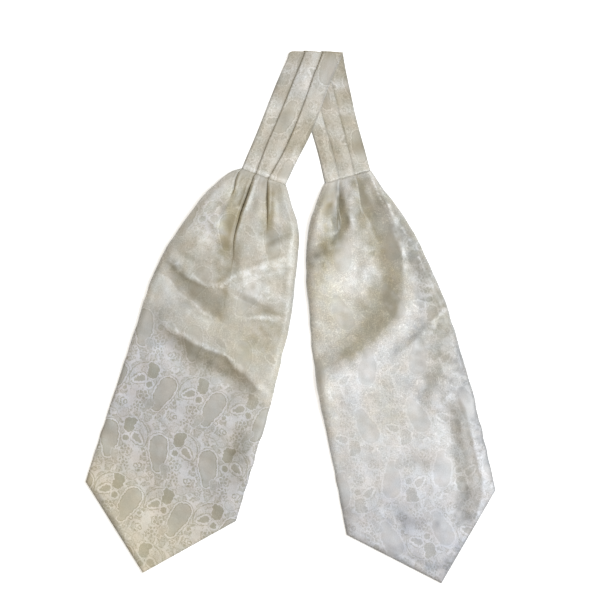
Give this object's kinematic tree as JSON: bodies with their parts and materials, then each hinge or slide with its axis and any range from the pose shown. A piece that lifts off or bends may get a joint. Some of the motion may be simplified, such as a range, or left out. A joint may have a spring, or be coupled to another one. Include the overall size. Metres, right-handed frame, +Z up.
{
  "type": "silk cravat",
  "caption": "Self-tie silk cravat laid flat: two wide pointed blades gathered into a pleated neckband that is folded over at the top.",
  "frame": {"origin": "middle of the bounding box, on the surface the cravat lies on", "axes": "+Z up from the surface, +Y from the blades' points towards the fold of the neckband, +X to the right as seen from above"},
  "size_m": [0.436, 0.5664, 0.0171],
  "materials": {
    "silk_front": "ivory satin ground with a matte self-coloured paisley, woven in",
    "silk_back": "ivory satin ground with a matte self-coloured paisley, woven in",
    "silk_band": "the same silk, pressed into knife pleats"
  },
  "bodies": {
    "root": {"left_blade_front": "silk_front", "left_blade_back": "silk_back", "right_blade_front": "silk_front", "right_blade_back": "silk_back", "neckband": "silk_band"}
  },
  "joints": []
}
